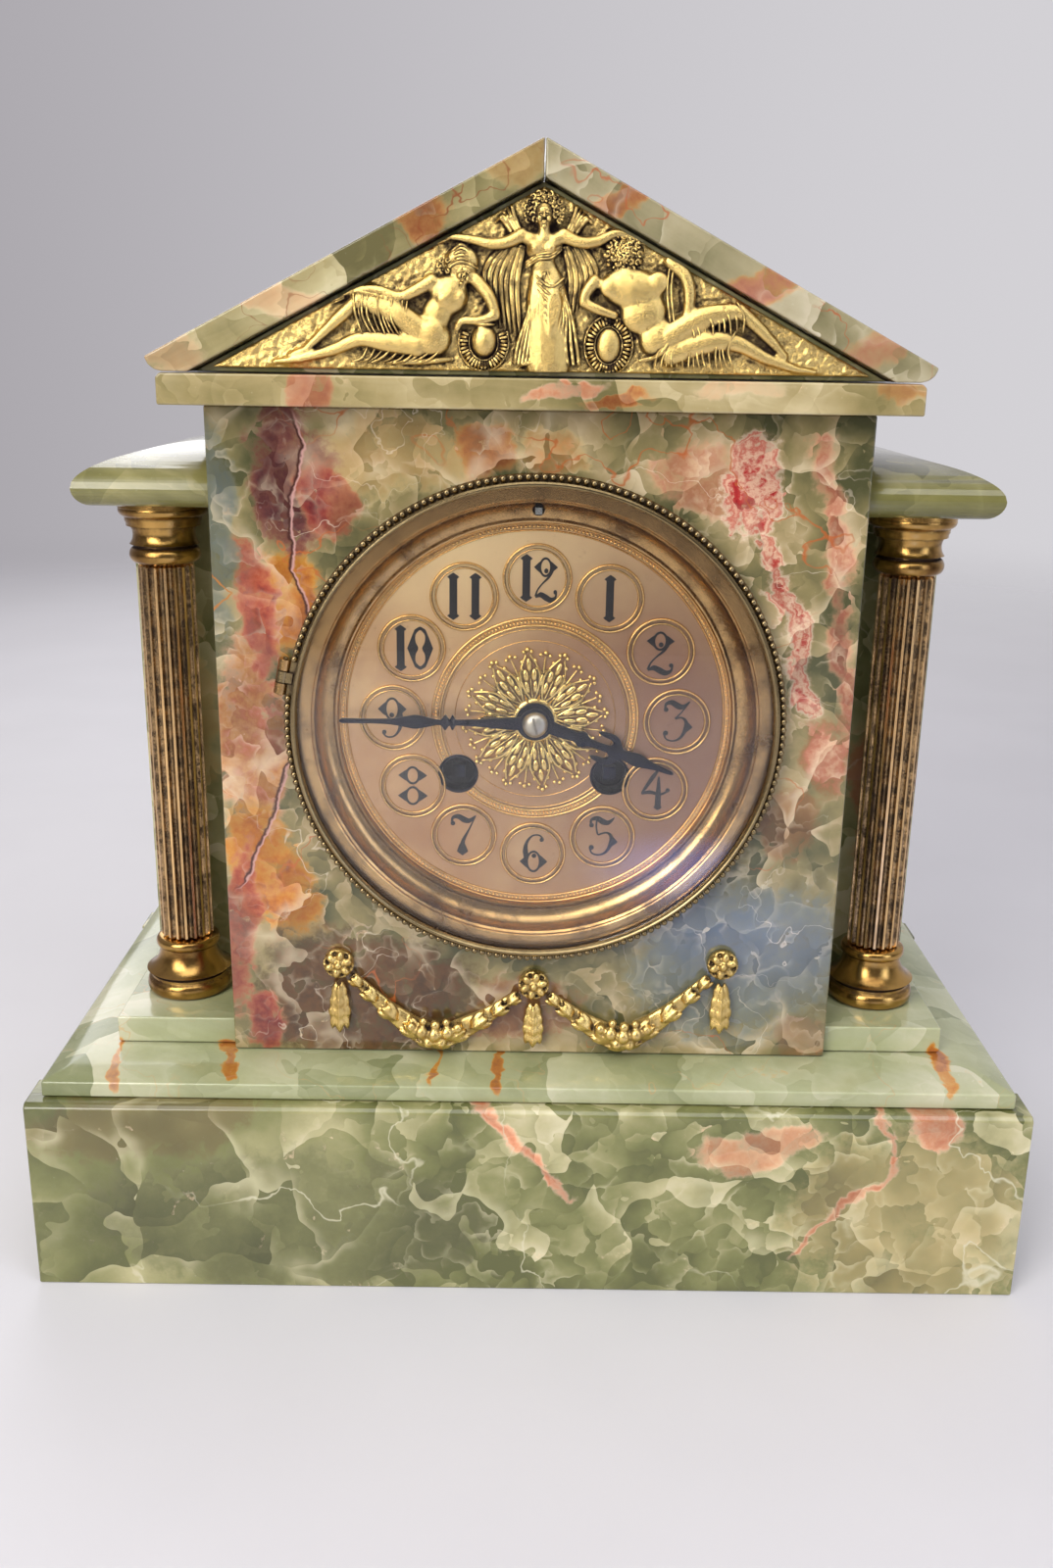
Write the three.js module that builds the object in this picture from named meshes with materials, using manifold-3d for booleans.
// Onyx mantel clock of the temple form, with its fourteen-day striking movement.
// Millimetres: X to the right of the dial, Y to the back, Z up, from the middle of the underside.
import * as THREE from "three";
import { mergeVertices } from "three/addons/utils/BufferGeometryUtils.js";
import Module from "manifold-3d";

const wasm = await Module();
wasm.setup();

// Driving dimensions of the stone case
const GAP = 0.3;
const BASE = { width: 270, depth: 136, height: 55.6, slab: 14, chamfer: 1.2 };
const PLATE = { inset: 4, edge: 4.3, bevel: 10.7, height: 8 };
const BODY = { half: 81.2, front: -50.9, back: 52, slab: 12, top: 235.8 };
const PLINTH = { half: 114.1, front: -47.8, back: 50, height: 7.5 };
const WING = { half: 110, front: -14, back: 40 };
const CAP = { half: 116, front: -47, back: 50, under: 210.6, nose: 4.8, drop: 4.7, rise: 10.2, reach: 34.4 };
const CORNICE = { half: 90.2, front: -59.6, back: 60, thick: 7.3 };
const RAKE = { tip: 92.5, tipHeight: 247, apex: 295.2, thick: 7.45, nose: 4, front: -59.8, back: 60.2 };
const PEDIMENT = { front: -54.6, back: 57.5 };

// Driving dimensions of the gilt and brass dressings
const COLUMN = { x: 98.5, y: -26.4, shaft: 7.3, flutes: 18, flute: 0.85, base: 16.2, capital: 15.8 };
const RELIEF = { ground: 1.5, clearance: 1.4 };
const SWAG = { span: 49, high: 89, low: 67.5, middle: 84.5, tube: 2.4, drop: 16 };

// Driving dimensions of the dial, its bezel and the rear door
const DIAL = { height: 157.4, radius: 52.6, front: -44, back: -43, winding: { x: 20, z: -15, hole: 4.95 } };
const FRONT_BORE = 58;
const REAR_BORE = 56;
const BEZEL = { back: -52.5, outer: 64, lip: 60.3, rebate: 61.6 };
const GLASS = { radius: 61.2, edge: -53.4, thick: 1.6, dome: 3 };
const HINGE_ANGLE = THREE.MathUtils.degToRad(168.8);
const FRONT_HINGE = { radius: 65.2, y: -53, angle: HINGE_ANGLE, knuckle: 1.7, bore: 0.9, pin: 0.6 };
const REAR_HINGE = { x: 60.3, y: 55.6, knuckle: 1.6, bore: 0.9, pin: 0.6 };
const KNUCKLE = { length: 2.8, pitch: 3.1 };

// Driving dimensions of the movement. Depths are places along Y, the rest is measured from the dial's centre.
const PLATES = { radius: 47, front: -36.5, back: -4.5, thick: 2 };
const PILLARS = [[9, -40.5], [-9, -40.5], [38.5, 14], [-38.5, 14]];
const ARBOR = { barrel: [20, -15], strike: [-20, -15], middle: [13.75, 8.17], centre: [0, 0] };
Object.assign(ARBOR, { third: [-2, 11.53], escape: [0, 22], anchor: [0, 40.6], minute: [0, 13] });
const HAND_ANGLES = { minute: -89.8, hour: 110.5 };
const PENDULUM = { y: 5, bob: 92, bobRadius: 16, rod: 1 };
const PIVOTS = { front: -35.6, back: -3.4 };
const BELL = { centre: -7, radius: 33, mouth: 14, apex: 30, wall: 1.5 };
const HAMMER = [-40, -18];
const BARREL_BORE = 2.8;
const CLAMP_SCREW = 50;
const REGULATOR = { z: 54.4, front: -50, square: 1.7 };

// Teeth: how far they stand out of the pitch circle and go into it, in modules, and their shares of the pitch
const LEAF = { out: 0.85, in: 1.25, root: 0.62, tip: 0.16 };
const POINTED = { out: 0.6, in: 1.3 };

// Facets round the large rings, the middling rounds, the turned column parts, the small tubes and the rods
const ROUND = 28;
const MIDDLING = 16;
const TURNED = 14;
const FEW = 8;
const SMALL = 6;

const STONE = {
  green: finish(0xb9bf94, 0.25, 0),
  pale: finish(0xc9cba6, 0.25, 0),
  red: finish(0xb9805a, 0.22, 0),
  lime: finish(0xbec07e, 0.28, 0),
};
const METAL = {
  gilt: finish(0xc79a3a, 0.3, 1),
  dial: finish(0xb98a55, 0.45, 1),
  brass: finish(0xb08d45, 0.28, 1),
  steel: finish(0x9a9a98, 0.25, 1),
  blued: finish(0x10131f, 0.3, 1),
};
const CLEAR = new THREE.MeshStandardMaterial({ color: 0xdfeaf0, roughness: 0.05 });
CLEAR.transparent = true;
CLEAR.opacity = 0.25;

function finish(color, roughness, metalness) {
  return new THREE.MeshStandardMaterial({ color, roughness, metalness });
}

// Joining and cutting
function solidOf(geometry) {
  const bare = geometry.index ? geometry.toNonIndexed() : geometry.clone();
  bare.deleteAttribute("normal");
  bare.deleteAttribute("uv");
  const merged = mergeVertices(bare, 1e-4);
  const triVerts = new Uint32Array(merged.index.array);
  const vertProperties = merged.attributes.position.array;
  return new wasm.Manifold(new wasm.Mesh({ numProp: 3, vertProperties, triVerts }));
}

function geometryOf(solid) {
  const mesh = solid.getMesh();
  const geometry = new THREE.BufferGeometry();
  geometry.setAttribute("position", new THREE.BufferAttribute(new Float32Array(mesh.vertProperties), 3));
  geometry.setIndex(new THREE.BufferAttribute(new Uint32Array(mesh.triVerts), 1));
  geometry.computeVertexNormals();
  return geometry;
}

function join(...geometries) {
  return geometryOf(geometries.map(solidOf).reduce((whole, piece) => whole.add(piece)));
}

function cut(geometry, ...tools) {
  return geometryOf(tools.map(solidOf).reduce((whole, tool) => whole.subtract(tool), solidOf(geometry)));
}

function common(first, second) {
  return geometryOf(solidOf(first).intersect(solidOf(second)));
}

// Plain shapes in the clock's frame
function box(x0, x1, y0, y1, z0, z1) {
  const geometry = new THREE.BoxGeometry(x1 - x0, y1 - y0, z1 - z0);
  return geometry.translate((x0 + x1) / 2, (y0 + y1) / 2, (z0 + z1) / 2);
}

// The two ends of a stretch on the left or the right side, lower first
function span(sign, inner, outer) {
  return sign < 0 ? [-outer, -inner] : [inner, outer];
}

function outline(points) {
  return new THREE.Shape(points.map(([a, b]) => new THREE.Vector2(a, b)));
}

// Extrudes a shape drawn as (first, second) along the third axis, from one place to another.
function extrude(shape, from, to, first, second) {
  const geometry = new THREE.ExtrudeGeometry(shape, { depth: to - from, bevelEnabled: false });
  const third = first.clone().cross(second);
  geometry.translate(0, 0, third.x + third.y + third.z > 0 ? from : -to);
  return geometry.applyMatrix4(new THREE.Matrix4().makeBasis(first, second, third));
}

const X = new THREE.Vector3(1, 0, 0);
const Y = new THREE.Vector3(0, 1, 0);
const Z = new THREE.Vector3(0, 0, 1);

function alongX(shape, from, to) {
  return extrude(shape, from, to, Y, Z);
}

function alongY(shape, from, to) {
  return extrude(shape, from, to, X, Z);
}

function alongZ(shape, from, to) {
  return extrude(shape, from, to, X, Y);
}

// Revolves a profile of [radius, depth] points about the Y axis, or about Z when it stands upright.
function revolve(profile, segments = ROUND) {
  const points = profile.map(([r, y]) => new THREE.Vector2(r, y));
  if (THREE.ShapeUtils.area(points) < 0) points.reverse();
  if (!points.some((point) => point.x === 0)) points.push(points[0].clone());
  return new THREE.LatheGeometry(points, segments);
}

function upright(profile, segments) {
  return revolve(profile, segments).rotateX(Math.PI / 2);
}

function rod(radius, from, to, x = 0, z = 0, segments = SMALL) {
  return revolve([[0, from], [radius, from], [radius, to], [0, to]], segments).translate(x, 0, z);
}

function tube(outer, inner, from, to, segments = FEW) {
  return revolve([[inner, from], [outer, from], [outer, to], [inner, to]], segments);
}

function arc(x, y, rx, ry, fromDegrees, toDegrees, steps) {
  return Array.from({ length: steps + 1 }, (_, i) => {
    const angle = THREE.MathUtils.degToRad(fromDegrees + ((toDegrees - fromDegrees) * i) / steps);
    return [x + rx * Math.cos(angle), y + ry * Math.sin(angle)];
  });
}

function circle(x, z, radius, points) {
  return arc(x, z, radius, radius, 0, 360 - 360 / points, points - 1);
}

function hole(shape, x, z, radius, points = SMALL) {
  shape.holes.push(outline(circle(x, z, radius, points)));
}

function disc(radius, holes, points = ROUND) {
  const shape = outline(circle(0, 0, radius, points));
  holes.forEach(([x, z, r]) => hole(shape, x, z, r, r > 4 ? 12 : r > 2 ? FEW : SMALL));
  return shape;
}

// The assembly: one group for the case and one centred on the dial
const clock = new THREE.Group();
const works = new THREE.Group();
works.position.z = DIAL.height;
clock.add(works);

function add(group, name, geometry, material) {
  const mesh = new THREE.Mesh(geometry, material);
  mesh.name = name;
  group.add(mesh);
}

// Base: four slabs round a hollow, under a bevelled top plate
function baseSlabs() {
  const { width, depth, height, slab, chamfer } = BASE;
  const slabOutline = (out, sign) =>
    outline([
      [sign * out, 0],
      [sign * (out - slab), 0],
      [sign * (out - slab), height],
      [sign * (out - chamfer), height],
      [sign * out, height - chamfer],
    ]);
  const half = width / 2;
  const inner = depth / 2 - slab - GAP;
  add(clock, "base_front_panel", alongX(slabOutline(depth / 2, -1), -half, half), STONE.green);
  add(clock, "base_back_panel", alongX(slabOutline(depth / 2, 1), -half, half), STONE.green);
  add(clock, "base_left_panel", alongY(slabOutline(half, -1), -inner, inner), STONE.green);
  add(clock, "base_right_panel", alongY(slabOutline(half, 1), -inner, inner), STONE.green);
}

const plateBottom = BASE.height + GAP;
const plateTop = plateBottom + PLATE.height;

function baseTopPlate() {
  const section = (out) =>
    outline([
      [-out, plateBottom],
      [out, plateBottom],
      [out, plateBottom + PLATE.edge],
      [out - PLATE.bevel, plateTop],
      [-out + PLATE.bevel, plateTop],
      [-out, plateBottom + PLATE.edge],
    ]);
  const x = BASE.width / 2 - PLATE.inset;
  const y = BASE.depth / 2 - PLATE.inset;
  add(clock, "base_top_plate", common(alongX(section(y), -x, x), alongY(section(x), -y, y)), STONE.pale);
}

// Body: a bored front slab and back slab, with the side walls and the wings behind the columns
function bored(bore, y0, y1) {
  const { half, top } = BODY;
  const foot = plateTop + GAP;
  const shape = outline([[-half, foot], [half, foot], [half, top], [-half, top]]);
  hole(shape, 0, DIAL.height, bore, ROUND);
  return alongY(shape, y0, y1);
}

const plinthBottom = plateTop + GAP;
const plinthTop = plinthBottom + PLINTH.height;

function body() {
  const { front, back, slab, half, top } = BODY;
  add(clock, "body_front_slab", bored(FRONT_BORE, front, front + slab), STONE.red);
  add(clock, "body_back_slab", bored(REAR_BORE, back - slab, back), STONE.green);
  const wallFront = front + slab + GAP;
  const wallBack = back - slab - GAP;
  for (const [side, sign] of [["left", -1], ["right", 1]]) {
    const wall = box(...span(sign, half - slab, half), wallFront, wallBack, plateTop + GAP, top);
    const wingTop = CAP.under - GAP;
    const wing = box(...span(sign, half - 1, WING.half), WING.front, WING.back, plinthTop + GAP, wingTop);
    add(clock, `side_wall_and_wing_${side}`, join(wall, wing), STONE.green);
    const across = span(sign, half + GAP, PLINTH.half);
    const plinth = box(...across, PLINTH.front, PLINTH.back, plinthBottom, plinthTop);
    add(clock, `plinth_${side}`, plinth, STONE.pale);
  }
}

// Shoulder caps: one bullnose profile runs round the front, the outer end and the back, mitred at the corners
function shoulderCaps() {
  const { half, front, back, under, nose, drop, rise, reach } = CAP;
  const noseOf = (tip) => [
    ...arc(tip - nose, under + drop, nose, drop, -90, 0, 4),
    ...arc(tip - reach, under + drop, reach, rise, 9, 90, 8),
  ];
  const inner = BODY.half + GAP;
  const length = (back - front) / 2;
  const middle = (back + front) / 2;
  const end = noseOf(half);
  const side = noseOf(length);
  const mirrored = side.map(([a, z]) => [-a, z]).reverse();
  const across = outline([...side, ...mirrored].map(([a, z]) => [middle + a, z]));
  for (const [name, sign] of [["left", -1], ["right", 1]]) {
    const profile = [[inner, under], ...end, [inner, under + drop + rise]].map(([x, z]) => [sign * x, z]);
    const cap = common(alongY(outline(profile), front, back), alongX(across, ...span(sign, inner, half)));
    add(clock, `shoulder_cap_${name}`, cap, STONE.lime);
  }
}

// Roof: a flat cornice, two raking slabs mitred at the apex, and the triangular core behind the relief
const corniceBottom = BODY.top + GAP;
const corniceTop = corniceBottom + CORNICE.thick;
const slope = (RAKE.apex - RAKE.tipHeight) / RAKE.tip;
const rakeDrop = RAKE.thick * Math.hypot(1, slope);
const innerApex = RAKE.apex - rakeDrop;

function roof() {
  const { half, front, back } = CORNICE;
  const corner = 1;
  const cornice = outline([
    [-half, corniceBottom],
    [half, corniceBottom],
    [half, corniceTop - corner],
    [half - corner, corniceTop],
    [-half + corner, corniceTop],
    [-half, corniceTop - corner],
  ]);
  add(clock, "cornice_slab", alongY(cornice, front, back), STONE.pale);
  const rest = corniceTop + GAP;
  const innerFoot = (innerApex - rest) / slope;
  for (const [name, sign] of [["left", -1], ["right", 1]]) {
    const points = [
      [GAP / 2, RAKE.apex - (slope * GAP) / 2],
      [RAKE.tip, RAKE.tipHeight],
      [RAKE.tip - 0.8, rest + 1.5],
      [RAKE.tip - 2.2, rest + 0.4],
      [RAKE.tip - RAKE.nose, rest],
      [innerFoot, rest],
      [GAP / 2, innerApex - (slope * GAP) / 2],
    ];
    const rake = outline(points.map(([x, z]) => [sign * x, z]));
    add(clock, `rake_slab_${name}`, alongY(rake, RAKE.front, RAKE.back), STONE.pale);
  }
  const core = alongY(pedimentTriangle(GAP * 1.2), PEDIMENT.front, PEDIMENT.back);
  add(clock, "pediment_core", core, STONE.green);
}

// The triangle inside the roof, drawn in from the stone round it by a clearance.
function pedimentTriangle(clearance) {
  const foot = corniceTop + clearance;
  const apex = innerApex - clearance * Math.hypot(1, slope);
  const half = (apex - foot) / slope;
  return outline([[-half, foot], [half, foot], [0, apex]]);
}

// A round bent along a curve: `place` gives its middle and `swell` its radius, for 0 to 1.
function bentRound(place, swell, y, steps, sides) {
  const geometry = new THREE.CylinderGeometry(1, 1, 1, sides, steps);
  const position = geometry.attributes.position;
  const tangent = (t) => {
    const [x0, z0] = place(t - 0.01);
    const [x1, z1] = place(t + 0.01);
    return new THREE.Vector2(x1 - x0, z1 - z0).normalize();
  };
  for (let i = 0; i < position.count; i += 1) {
    const t = position.getY(i) + 0.5;
    const [x, z] = place(t);
    const along = tangent(t);
    const across = position.getX(i) * swell(t);
    position.setXYZ(i, x - across * along.y, y + position.getZ(i) * swell(t), z + across * along.x);
  }
  return geometry;
}

function ball([x, z], radius, y) {
  return new THREE.SphereGeometry(radius, SMALL, 4).rotateY(0.3).translate(x, y, z);
}

// A limb or a body swells from one end to its middle and tapers to the other end along a smooth curve.
function limb(joints, radii, y, steps) {
  const path = new THREE.SplineCurve(joints.map(([x, z]) => new THREE.Vector2(x, z)));
  const place = (t) => path.getPoint(THREE.MathUtils.clamp(t, 0, 1)).toArray();
  const [start, middle, end] = radii;
  const swell = (t) => (t < 0.5 ? start + (middle - start) * 2 * t : middle + (end - middle) * (2 * t - 1));
  return bentRound(place, swell, y, steps, 5);
}

// Gilt relief: a winged figure between two reclining figures with wreaths, raised on a thin ground
function tympanumRelief() {
  const groundBack = PEDIMENT.front - GAP;
  const y = groundBack - RELIEF.ground;
  const ground = alongY(pedimentTriangle(RELIEF.clearance), y, groundBack);
  const figures = [
    ball([0, 279.4], 2.6, y),
    limb([[0, 277], [0.5, 262], [1, 245.5]], [2.4, 3.2, 3.4], y, 2),
  ];
  for (const sign of [-1, 1]) {
    const mirrored = (joints) => joints.map(([x, z]) => [sign * x, z]);
    figures.push(
      limb(mirrored([[1, 274], [12, 270.5], [22.5, 273.4]]), [1.5, 1.4, 0.8], y, 2),
      limb(mirrored([[4, 277.5], [7, 268], [9.5, 257]]), [2.4, 2.8, 0.9], y, 2),
      ball(mirrored([[19, 269.3]])[0], 2.6, y),
      limb(mirrored([[20, 267], [27, 253], [45, 257], [60, 247]]), [3, 3.6, 1.4], y, 4),
      limb(mirrored([[21, 265.5], [16, 261], [14, 256]]), [1.4, 1.2, 1], y, 2),
      ball(mirrored([[14.5, 251.3]])[0], 5.6, y),
    );
  }
  const roomInFront = box(-90, 90, RAKE.front, groundBack, corniceTop + GAP, RAKE.apex);
  add(clock, "tympanum_relief", common(join(ground, ...figures), roomInFront), METAL.gilt);
}

// Gilt garland under the dial: three rosettes, their drops and two swags, cut flat against the slab
function garland() {
  const back = BODY.front - GAP;
  const y = back - 0.8;
  const { span: reach, high, low, middle, tube: radius, drop } = SWAG;
  const stations = [[-reach - 2.8, high + 2], [0, middle + 2], [reach + 2.8, high + 2]];
  const leafWidth = (t) => 0.6 + 1.7 * Math.sin(Math.PI * t ** 0.6) ** 2;
  const pieces = stations.flatMap((at) => [
    ball(at, 4.2, y),
    bentRound((t) => [at[0], at[1] - 3 - drop * t], leafWidth, y, 3, 5),
  ]);
  const swell = (t) => radius * (0.45 + 0.75 * Math.sin(Math.PI * t));
  for (const sign of [-1, 1]) {
    const hang = (t) => {
      const sag = 4 * t * (1 - t) * ((high + middle) / 2 - low);
      return [sign * reach * (1 - t), high + (middle - high) * t - sag];
    };
    pieces.push(bentRound(hang, swell, y, 5, 5));
  }
  const proud = box(-60, 60, y - 5, back, 60, 100);
  add(clock, "garland_mount", common(join(...pieces), proud), METAL.gilt);
}

// Columns: turned base and capital, fluted shaft
function columns() {
  const footZ = plinthTop + GAP;
  const base = [
    [0, 0],
    [11, 0],
    [12, 2.1],
    [10.8, 5],
    [8.7, 9.6],
    [8, 13.6],
    [8.9, 14.4],
    [8.9, COLUMN.base],
    [0, COLUMN.base],
  ];
  const capital = [
    [0, 0],
    [8, 0],
    [9.4, 2.4],
    [8.2, 6.4],
    [9.9, 10.8],
    [9.9, 12],
    [11.6, 14.4],
    [11.6, COLUMN.capital],
    [0, COLUMN.capital],
  ];
  const capitalZ = CAP.under - GAP - COLUMN.capital;
  const shaftZ = footZ + COLUMN.base + GAP;
  const pitch = (2 * Math.PI) / COLUMN.flutes;
  const section = [];
  for (let i = 0; i < COLUMN.flutes; i += 1) {
    for (const [share, depth] of [[-0.17, 0], [0.17, 0], [0.5, 1]]) {
      const radius = COLUMN.shaft - depth * COLUMN.flute;
      section.push([radius * Math.cos((i + share) * pitch), radius * Math.sin((i + share) * pitch)]);
    }
  }
  for (const [name, sign] of [["left", -1], ["right", 1]]) {
    const place = (geometry, z = 0) => geometry.translate(sign * COLUMN.x, COLUMN.y, z);
    add(clock, `column_base_${name}`, place(upright(base, TURNED), footZ), METAL.brass);
    add(clock, `column_capital_${name}`, place(upright(capital, TURNED), capitalZ), METAL.brass);
    add(clock, `column_shaft_${name}`, place(alongZ(outline(section), shaftZ, capitalZ - GAP)), METAL.brass);
  }
}

// A hinge lies along the direction `along` through `at`; its knuckles and pin are rounds on that line.
function onLine(at, along, radius, from, to, segments = 8) {
  const geometry = new THREE.CylinderGeometry(radius, radius, to - from, segments);
  geometry.translate(0, (from + to) / 2, 0);
  geometry.applyQuaternion(new THREE.Quaternion().setFromUnitVectors(Y, along));
  return geometry.translate(at.x, at.y, at.z);
}

function hingeOf({ at, along, knuckle, bore, pin }) {
  const { length, pitch } = KNUCKLE;
  const barrel = (place, radius, spare = 0) =>
    onLine(at, along, radius, place * pitch - length / 2 - spare, place * pitch + length / 2 + spare);
  const end = pitch + length / 2;
  return {
    fixed: [barrel(-1, knuckle), barrel(1, knuckle)],
    moving: barrel(0, knuckle),
    room: [barrel(-1, knuckle + GAP, GAP / 2), barrel(1, knuckle + GAP, GAP / 2)],
    movingRoom: barrel(0, knuckle + GAP, GAP / 2),
    bore: onLine(at, along, bore, -end - 2, end + 2, SMALL),
    pin: onLine(at, along, pin, -end - 0.5, end + 0.5, SMALL),
  };
}

const frontHinge = (() => {
  const { radius, y, angle } = FRONT_HINGE;
  const at = new THREE.Vector3(radius * Math.cos(angle), y, radius * Math.sin(angle));
  const along = new THREE.Vector3(Math.sin(angle), 0, -Math.cos(angle));
  return { at, along, parts: hingeOf({ ...FRONT_HINGE, at, along }) };
})();

const rearHinge = hingeOf({ ...REAR_HINGE, at: new THREE.Vector3(REAR_HINGE.x, REAR_HINGE.y, 0), along: Z });

// Dial surround: a flange on the stone, a hollow moulding down to the dial and a skirt in the bore
function dialSurround() {
  const flange = BODY.front - GAP;
  const ring = revolve(
    [
      [62.2, flange],
      [62.2, flange - 1],
      [57.3, flange - 1],
      ...arc(51.7, -51.4, 4.8, 5.6, 0, 84, 2),
      [51, -44.3],
      [55.4, -46.2],
      [56.2, -42],
      [57.4, -42],
      [57.4, flange],
    ],
    ROUND,
  );
  const leaf = box(60.8, FRONT_HINGE.radius, flange - 1, flange, -4.5, 4.5).rotateY(-FRONT_HINGE.angle);
  const { fixed, movingRoom, bore } = frontHinge.parts;
  const regulatorHole = rod(1.6, -52, -44, 0, REGULATOR.z);
  const surround = cut(join(ring, leaf, ...fixed), movingRoom, bore, regulatorHole);
  add(works, "dial_surround", surround, METAL.gilt);
}

function dial() {
  const { x, z, hole: holeRadius } = DIAL.winding;
  const shape = disc(DIAL.radius, [[0, 0, 3.6], [x, z, holeRadius], [-x, z, holeRadius]]);
  const feet = [[-34, 24], [34, 24], [0, -43.5]].map(([fx, fz]) => {
    return rod(1.4, -43.4, PLATES.front - GAP, fx, fz);
  });
  add(works, "dial_plate", join(alongY(shape, DIAL.front, DIAL.back), ...feet), METAL.dial);
  const petals = 12;
  const steps = 3;
  const points = Array.from({ length: petals * steps }, (_, i) => {
    const angle = (i * 2 * Math.PI) / (petals * steps);
    const radius = 16.2 + 3 * Math.cos(petals * angle);
    return [radius * Math.cos(angle), radius * Math.sin(angle)];
  });
  const rosette = outline(points);
  hole(rosette, 0, 0, 6);
  add(works, "dial_rosette", alongY(rosette, DIAL.front - GAP - 0.6, DIAL.front - GAP), METAL.gilt);
}

function bezel() {
  const { back, outer, lip, rebate } = BEZEL;
  const ring = revolve(
    [
      [rebate, back],
      [outer, back],
      [outer - 0.3, back - 2.8],
      [61.3, back - 4],
      [lip, back - 3.6],
      [lip, back - 2.8],
      [rebate, back - 2.8],
    ],
    ROUND,
  );
  const { moving, room, bore, pin } = frontHinge.parts;
  add(works, "bezel_ring", cut(join(ring, moving), ...room, bore), METAL.brass);
  add(works, "bezel_hinge_pin", pin, METAL.brass);
  const { radius, edge, thick, dome } = GLASS;
  const front = edge - thick;
  const share = 0.6;
  const bowed = (y) => [radius * share, y - dome * (1 - share * share)];
  const rim = [[radius, front], [radius, edge]];
  const glass = [[0, front - dome], bowed(front), ...rim, bowed(edge), [0, edge - dome]];
  add(works, "bezel_glass", revolve(glass, ROUND), CLEAR);
}

// Rear ring in the back bore, its door, and the straps whose screws draw the front and rear rings together
function rearDoor() {
  const face = BODY.back + GAP;
  const ring = revolve(
    [
      [54.4, 40],
      [55.6, 40],
      [55.6, face],
      [60.4, face],
      [60.4, face + 1.4],
      [54.4, face + 1.4],
    ],
    ROUND,
  );
  const lugs = [-1, 1].map((sign) => box(...span(sign, 46.5, 54.9), 46, 48, -4, 4));
  const lugHoles = [-1, 1].map((sign) => rod(1.9, 45, 49, sign * CLAMP_SCREW));
  const besideKnuckle = KNUCKLE.length / 2 + GAP;
  const leaves = [-1, 1].map((sign) => {
    return box(58.7, 60.2, face + 0.6, REAR_HINGE.y, ...span(sign, besideKnuckle, 4.5));
  });
  const { fixed, moving, movingRoom, bore, pin } = rearHinge;
  const open = cut(join(ring, ...leaves, ...fixed, ...lugs), ...lugHoles, movingRoom);
  add(works, "rear_ring", join(open, pin), METAL.brass);
  const doorFace = face + 1.7;
  const door = revolve(
    [
      [0, doorFace],
      [57.6, doorFace],
      [57.6, doorFace + 1.2],
      [52, doorFace + 1.2],
      [50.5, doorFace + 2.2],
      [0, doorFace + 2.2],
    ],
    ROUND,
  );
  const doorLeaf = box(56.5, 59.6, doorFace + 0.1, doorFace + 1.1, -KNUCKLE.length / 2, KNUCKLE.length / 2);
  const knob = [
    [0, doorFace + 2],
    [1.4, doorFace + 2],
    [1.4, doorFace + 3.4],
    [3, doorFace + 4.4],
    [3, doorFace + 6],
    [2, doorFace + 7],
    [0, doorFace + 7],
  ];
  const knobAtEdge = revolve(knob, FEW).translate(-45, 0, 0);
  add(works, "rear_door", cut(join(door, doorLeaf, moving, knobAtEdge), bore), METAL.brass);
}

function clampStraps() {
  for (const [name, sign] of [["left", -1], ["right", 1]]) {
    const strap = box(...span(sign, 53.2, 54.9), -43.6, 24, -6, 6);
    const tab = box(...span(sign, 46.5, 54), 22, 24, -5, 5);
    const shank = rod(1.5, 23, 49.2, sign * CLAMP_SCREW);
    const head = rod(3, 48.4, 50.6, sign * CLAMP_SCREW, 0, FEW);
    add(works, `clamp_strap_${name}`, join(strap, tab, shank, head), METAL.brass);
  }
}

// Toothed wheels. A tooth is centred at the angle `tooth`, measured from X towards Z.
function toothed(teeth, radius, tooth, form) {
  const module = (2 * radius) / teeth;
  const pitch = (2 * Math.PI) / teeth;
  const tip = radius + form.out * module;
  const root = radius - form.in * module;
  const at = (r, angle) => [r * Math.cos(angle), r * Math.sin(angle)];
  const points = [];
  for (let i = 0; i < teeth; i += 1) {
    const centre = tooth + i * pitch;
    if (form.tip) {
      points.push(at(root, centre - (form.root * pitch) / 2), at(tip, centre - (form.tip * pitch) / 2));
      points.push(at(tip, centre + (form.tip * pitch) / 2), at(root, centre + (form.root * pitch) / 2));
    } else {
      points.push(at(tip, centre), at(root, centre + pitch / 2));
    }
  }
  return outline(points);
}

// The tooth angle of a wheel that meshes with another: a gap of its own faces the other's tooth.
function inMesh(tooth, teeth, from, to, otherTeeth) {
  const line = Math.atan2(to[1] - from[1], to[0] - from[0]);
  return line + Math.PI + ((line - tooth) * teeth) / otherTeeth + Math.PI / otherTeeth;
}

// Openings between the spokes of a wheel
function crossOut(shape, inner, outer, spokes, width) {
  for (let i = 0; i < spokes; i += 1) {
    const middle = ((i + 0.5) * 2 * Math.PI) / spokes;
    const reach = (r) => Math.PI / spokes - width / r;
    const at = (r, angle) => new THREE.Vector2(r * Math.cos(middle + angle), r * Math.sin(middle + angle));
    const points = [at(inner, reach(inner)), at(inner, -reach(inner))];
    for (let step = -1; step <= 1; step += 1) points.push(at(outer, step * reach(outer)));
    shape.holes.push(new THREE.Path(points));
  }
  return shape;
}

function placed(geometry, [x, z]) {
  return geometry.translate(x, 0, z);
}

const TEETH = {
  barrel: 56,
  middlePinion: 8,
  middle: 56,
  centrePinion: 8,
  centre: 72,
  thirdPinion: 6,
  third: 76,
  escapePinion: 6,
  escape: 36,
  cannon: 12,
  minute: 36,
  minutePinion: 8,
  hour: 32,
};

// Pitch radii follow from the tooth counts and the distances between the arbors.
function pitchRadii(wheel, pinion, from, to) {
  const distance = Math.hypot(to[0] - from[0], to[1] - from[1]);
  return [(distance * wheel) / (wheel + pinion), (distance * pinion) / (wheel + pinion)];
}

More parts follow.
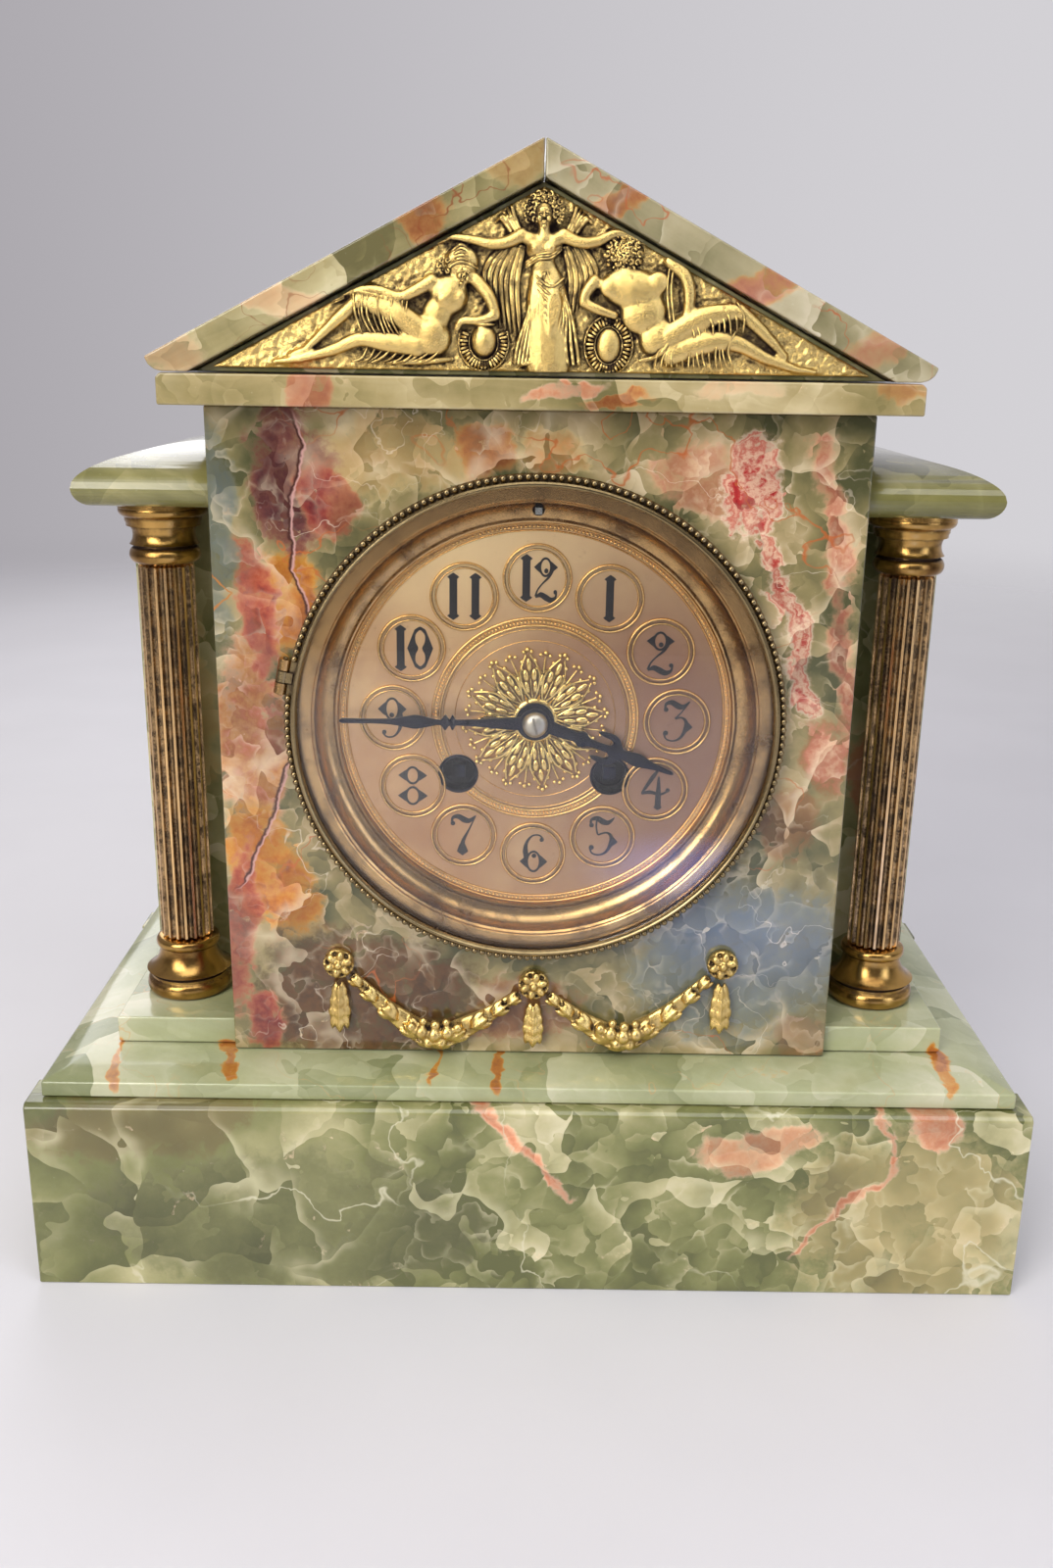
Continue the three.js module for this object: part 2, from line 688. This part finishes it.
function goingTrain() {
  const { barrel, middle, centre, third, escape } = ARBOR;
  const [barrelR, middlePinionR] = pitchRadii(TEETH.barrel, TEETH.middlePinion, barrel, middle);
  const [middleR, centrePinionR] = pitchRadii(TEETH.middle, TEETH.centrePinion, middle, centre);
  const [centreR, thirdPinionR] = pitchRadii(TEETH.centre, TEETH.thirdPinion, centre, third);
  const [thirdR, escapePinionR] = pitchRadii(TEETH.third, TEETH.escapePinion, third, escape);
  const middleTooth = inMesh(0, TEETH.barrel, barrel, middle, TEETH.middlePinion);
  const centreTooth = inMesh(0, TEETH.middle, middle, centre, TEETH.centrePinion);
  const thirdTooth = inMesh(0, TEETH.centre, centre, third, TEETH.thirdPinion);
  const escapeTooth = inMesh(0, TEETH.third, third, escape, TEETH.escapePinion);

  const drum = tube(17, BARREL_BORE, -30.5, -12.4, MIDDLING);
  const greatWheel = toothed(TEETH.barrel, barrelR, 0, POINTED);
  hole(greatWheel, 0, 0, BARREL_BORE, MIDDLING);
  add(works, "going_barrel", placed(join(drum, alongY(greatWheel, -12.5, -10.9)), barrel), METAL.brass);

  const middleWheel = crossOut(toothed(TEETH.middle, middleR, 0, POINTED), 3.6, 11.4, 4, 0.8);
  const middlePieces = [
    alongY(toothed(TEETH.middlePinion, middlePinionR, middleTooth, LEAF), -13.4, -9.3),
    alongY(middleWheel, -9.4, -8.4),
    rod(0.9, -33.6, -5.2),
    rod(0.5, PIVOTS.front, PIVOTS.back),
  ];
  add(works, "intermediate_wheel", placed(join(...middlePieces), middle), METAL.brass);

  const centreWheel = crossOut(toothed(TEETH.centre, centreR, 0, POINTED), 2.8, 8.6, 4, 0.7);
  const centrePieces = [
    alongY(toothed(TEETH.centrePinion, centrePinionR, centreTooth, LEAF), -10.2, -7.4),
    alongY(centreWheel, -33.6, -32.7),
    rod(0.9, -48.5, -5.2),
    rod(0.5, -6, PIVOTS.back),
  ];
  add(works, "centre_wheel", placed(join(...centrePieces), centre), METAL.brass);

  const thirdWheel = crossOut(toothed(TEETH.third, thirdR, 0, POINTED), 2.4, 8, 4, 0.6);
  const thirdPieces = [
    alongY(toothed(TEETH.thirdPinion, thirdPinionR, thirdTooth, LEAF), -34, -31.8),
    alongY(thirdWheel, -25.4, -24.6),
    rod(0.45, PIVOTS.front, PIVOTS.back),
  ];
  add(works, "third_wheel", placed(join(...thirdPieces), third), METAL.brass);

  const escapePieces = [
    alongY(toothed(TEETH.escapePinion, escapePinionR, escapeTooth, LEAF), -26.2, -23.8),
    alongY(toothed(TEETH.escape, 9.05, 0, { out: 0.5, in: 2.2 }), -20.2, -19.4),
    rod(0.4, PIVOTS.front, PIVOTS.back),
  ];
  add(works, "escape_wheel", placed(join(...escapePieces), escape), METAL.brass);
}

// Anchor with its arbor, the pallets held clear of the teeth, and the crutch that reaches the pendulum
function anchor() {
  const [x, z] = ARBOR.anchor;
  const reach = 1.15;
  const distance = z - ARBOR.escape[1];
  const nibRadius = 9.3 + reach;
  const nibAngle = Math.acos(nibRadius / distance);
  const nib = [nibRadius * Math.sin(nibAngle), nibRadius * Math.cos(nibAngle) - distance];
  const arch = outline([
    [-nib[0] - 1.3, nib[1] + 0.6],
    [-nib[0], nib[1]],
    [-nib[0] + 0.9, nib[1] + 1.4],
    [-4.5, -4.6],
    [0, -2.6],
    [4.5, -4.6],
    [nib[0] - 0.9, nib[1] + 1.4],
    [nib[0], nib[1]],
    [nib[0] + 1.3, nib[1] + 0.6],
    [6.6, -3.2],
    [0, 2.2],
    [-6.6, -3.2],
  ]);
  const rodY = PENDULUM.y;
  const pieces = [
    alongY(arch, -21, -18.6),
    rod(0.9, -33.8, -1.2),
    rod(0.5, PIVOTS.front, -1.4),
    box(-0.9, 0.9, -1.8, -0.6, -34, 1.6),
    box(-2.4, 2.4, -1.8, -0.6, -36, -33.4),
    box(-2.4, -1.5, -1.4, rodY + 3, -36, -34),
    box(1.5, 2.4, -1.4, rodY + 3, -36, -34),
  ];
  add(works, "anchor_and_crutch", placed(join(...pieces), [x, z]), METAL.steel);
}

function pendulum() {
  const { y, bob, bobRadius, rod: radius } = PENDULUM;
  const pivot = ARBOR.anchor[1];
  const bobZ = bob - DIAL.height;
  const upRod = (r, from, to) => upright([[0, from], [r, from], [r, to], [0, to]], SMALL).translate(0, y, 0);
  const hook = box(-2.6, 2.6, y - 1.1, y + 1.1, pivot - 4, pivot - 0.4);
  add(works, "pendulum_rod", join(upRod(radius, bobZ, pivot - 3.8), hook), METAL.steel);
  const lens = [[0, y - 4.6], ...arc(bobRadius - 6, y, 6, 4.2, -75, 75, 4), [0, y + 4.6]];
  const bobSolid = revolve(lens, MIDDLING).translate(0, 0, bobZ);
  const room = upRod(radius + GAP, bobZ - GAP, bobZ + bobRadius + 2);
  add(works, "pendulum_bob", cut(bobSolid, room), METAL.brass);
}

// Plates of the movement with their pivot holes, the pillars, the bell stand and the suspension cock
function plates() {
  const pivots = ["middle", "centre", "third", "escape", "anchor"].map((name) => [...ARBOR[name], 0.9]);
  const barrels = [[...ARBOR.barrel, 2.8], [...ARBOR.strike, 2.8]];
  const frontHoles = [...pivots.filter(([, z]) => z !== 0), ...barrels, [0, 0, 1.3]];
  const backHoles = [...pivots.filter(([, z]) => z < 40), ...barrels, [...ARBOR.anchor, 2]];
  const { radius, front, back, thick } = PLATES;
  const frontPlate = alongY(disc(radius, frontHoles, 20), front, front + thick);
  const pillars = PILLARS.map(([x, z]) => rod(2.4, front + 1, back - GAP, x, z));
  const minuteStud = rod(0.9, -42.6, front + 1, ...ARBOR.minute);
  add(works, "front_plate", join(frontPlate, ...pillars, minuteStud), METAL.brass);

  const y = back + thick;
  const arm = outline([[25.5, -27], [28, -24], [2.6, -3.6], [-2.6, -5.4], [-2, -10]]);
  const stand = [
    rod(2, back + 1, 13, 25, -24.5),
    alongY(arm, 11, 13),
    rod(2, 12, BELL.apex + 4, 0, BELL.centre),
    rod(4, BELL.apex + 0.6, BELL.apex + 2.8, 0, BELL.centre),
    rod(1.2, back + 1, 2.6, ...HAMMER),
  ];
  add(works, "back_plate", join(alongY(disc(radius, backHoles, 20), back, y), ...stand), METAL.brass);
}

function suspensionCock() {
  const { y } = PENDULUM;
  const face = PLATES.back + PLATES.thick + GAP;
  const pivot = ARBOR.anchor[1];
  const legs = [-1, 1].map((sign) => box(...span(sign, 4.4, 8.6), face, face + 2.4, 30, 48));
  const pieces = [
    ...legs,
    box(-8.6, 8.6, face, y + 3, 46.4, 58),
    box(-2.4, 2.4, y - 0.3, y + 0.3, pivot, 47),
  ];
  const regulatorHole = rod(1.4, face - 1, face + 4, 0, REGULATOR.z);
  add(works, "suspension_cock", cut(join(...pieces), regulatorHole), METAL.brass);
  const { front, square, z } = REGULATOR;
  const end = box(-square / 2, square / 2, front, front + 4, z - square / 2, z + square / 2);
  add(works, "regulator_arbor", join(rod(1, front + 3.5, face + 3.5, 0, z), end), METAL.steel);
}

// Winding arbors with their ratchets and clicks, and the strike barrel
function windingWork() {
  const saw = [];
  const sawTeeth = 12;
  for (let i = 0; i < sawTeeth; i += 1) {
    const angle = (i * 2 * Math.PI) / sawTeeth;
    saw.push([7.4 * Math.cos(angle), 7.4 * Math.sin(angle)], [6.3 * Math.cos(angle), 6.3 * Math.sin(angle)]);
  }
  const saws = outline(saw.map(([x, z], i) => (i % 2 ? turned(x, z, 0.02) : [x, z])));
  for (const [name, at, sign] of [["going", ARBOR.barrel, 1], ["strike", ARBOR.strike, -1]]) {
    const pieces = [
      box(-1.7, 1.7, -41.5, -38, -1.7, 1.7),
      alongY(saws, -38.5, -37.3),
      rod(2.45, -37.4, -5.4, 0, 0, FEW),
      rod(1.6, -5.6, -3),
    ];
    add(works, `${name}_winding_arbor`, placed(join(...pieces), at), METAL.steel);
    const pivot = [at[0] + sign * 9.4, at[1] - 8];
    const nose = [at[0] + sign * 7.9, at[1] - 1.2];
    const lever = join(limbPlate(pivot, nose, 1.5, 0.45), rod(1.5, -38.5, PLATES.front - GAP, ...pivot));
    add(works, `${name}_click`, lever, METAL.steel);
  }
  const wheel = toothed(TEETH.barrel, 21, 0, POINTED);
  hole(wheel, 0, 0, BARREL_BORE, MIDDLING);
  const drum = tube(17, BARREL_BORE, -28.6, -10, MIDDLING);
  add(works, "strike_barrel", placed(join(drum, alongY(wheel, -30, -28.5)), ARBOR.strike), METAL.brass);
}

function turned(x, z, angle) {
  return [x * Math.cos(angle) - z * Math.sin(angle), x * Math.sin(angle) + z * Math.cos(angle)];
}

// A flat lever between two places, rounded to a width at each
function limbPlate([x0, z0], [x1, z1], w0, w1) {
  const length = Math.hypot(x1 - x0, z1 - z0);
  const [ux, uz] = [(x1 - x0) / length, (z1 - z0) / length];
  const corner = (x, z, w) => [x - uz * w, z + ux * w];
  const points = [corner(x0, z0, w0), corner(x0, z0, -w0), corner(x1, z1, -w1), corner(x1, z1, w1)];
  return alongY(outline(points), -38.5, -37.3);
}

function motionWork() {
  const { centre, minute } = ARBOR;
  const [minuteR, cannonR] = pitchRadii(TEETH.minute, TEETH.cannon, centre, minute);
  const [hourR, pinionR] = pitchRadii(TEETH.hour, TEETH.minutePinion, centre, minute);
  const minuteTooth = inMesh(0, TEETH.cannon, centre, minute, TEETH.minute);
  const pinionTooth = inMesh(0, TEETH.hour, centre, minute, TEETH.minutePinion);
  const bored = (shape, radius) => {
    hole(shape, 0, 0, radius, FEW);
    return shape;
  };
  const cannon = bored(toothed(TEETH.cannon, cannonR, 0, LEAF), 1.2);
  const cannonPipe = tube(1.75, 1.2, -48.8, -40.2);
  add(works, "cannon_pinion", join(alongY(cannon, -40.4, -39.2), cannonPipe), METAL.steel);
  const wheel = bored(toothed(TEETH.minute, minuteR, minuteTooth, POINTED), 1.2);
  const pinion = bored(toothed(TEETH.minutePinion, pinionR, pinionTooth, LEAF), 1.2);
  const minutePieces = [alongY(wheel, -40.2, -39.4), alongY(pinion, -42.2, -40.1)];
  add(works, "minute_wheel", placed(join(...minutePieces), minute), METAL.brass);
  const hour = bored(toothed(TEETH.hour, hourR, 0, POINTED), 2.1);
  add(works, "hour_wheel", join(alongY(hour, -41.9, -41.1), tube(3, 2.1, -46.6, -41.8)), METAL.brass);
}

// Hands, drawn pointing to twelve and turned to the time
function hands() {
  const halves = (points) => outline([...points, ...points.map(([x, z]) => [-x, z]).reverse()]);
  const turn = (geometry, degrees) => geometry.rotateY(THREE.MathUtils.degToRad(degrees));
  const minute = [
    [1.7, 3],
    [0.8, 15],
    [1.9, 16],
    [1.1, 17.4],
    [1.9, 18.8],
    [1, 20],
    [1, 24],
    [2.1, 29],
    [1.4, 33],
    [0.8, 37],
    [0.25, 50.5],
  ];
  const minuteBlank = join(alongY(halves(minute), -48.8, -48), rod(4, -48.8, -48, 0, 0, MIDDLING));
  const minuteBored = cut(minuteBlank, rod(2.05, -50, -46, 0, 0, 12));
  add(works, "minute_hand", turn(minuteBored, HAND_ANGLES.minute), METAL.blued);
  const hour = [
    [1.7, 4],
    [1, 15],
    [2.2, 17],
    [3.6, 20],
    [3.4, 23],
    [1.8, 25.4],
    [3, 27],
    [1.5, 28.6],
    [1, 31],
    [1.7, 34],
    [0.25, 39],
  ];
  const hourShape = halves(hour);
  hole(hourShape, 0, 20.8, 1.5);
  const hourBlank = join(alongY(hourShape, -46.4, -45.6), rod(5, -46.4, -45.6, 0, 0, MIDDLING));
  const hourBored = cut(hourBlank, rod(3.3, -48, -44, 0, 0, 12));
  add(works, "hour_hand", turn(hourBored, HAND_ANGLES.hour), METAL.blued);
  const nut = [[0, -51.8], [1.8, -51.6], [3.2, -50.9], [4, -49.9], [4, -49.1], [0, -49.1]];
  add(works, "hand_nut", revolve(nut, 12), METAL.steel);
}

function strikeBell() {
  const { centre, radius, mouth, apex, wall } = BELL;
  const depth = apex - mouth;
  const outer = arc(0, mouth, radius, depth, 0, 84, 3);
  const inner = arc(0, mouth, radius - wall, depth - wall, 0, 82, 3).reverse();
  const profile = [...outer, [2.4, apex], [2.4, apex - wall], ...inner];
  add(works, "bell", revolve(profile, MIDDLING).translate(0, 0, centre), METAL.steel);
  const pieces = [
    placed(tube(3, 1.5, -2.1, 2), HAMMER),
    box(-41, -39, -0.5, 1.5, -15.6, -5.6),
    box(-41, -39, -0.5, 18, -7.6, -5.6),
    box(-41.4, -34.6, 15, 18.4, -8.6, -4.6),
  ];
  add(works, "hammer", join(...pieces), METAL.brass);
}

baseSlabs();
baseTopPlate();
body();
shoulderCaps();
roof();
tympanumRelief();
garland();
columns();
dialSurround();
dial();
bezel();
rearDoor();
clampStraps();
plates();
suspensionCock();
goingTrain();
anchor();
pendulum();
windingWork();
motionWork();
hands();
strikeBell();

export default clock;
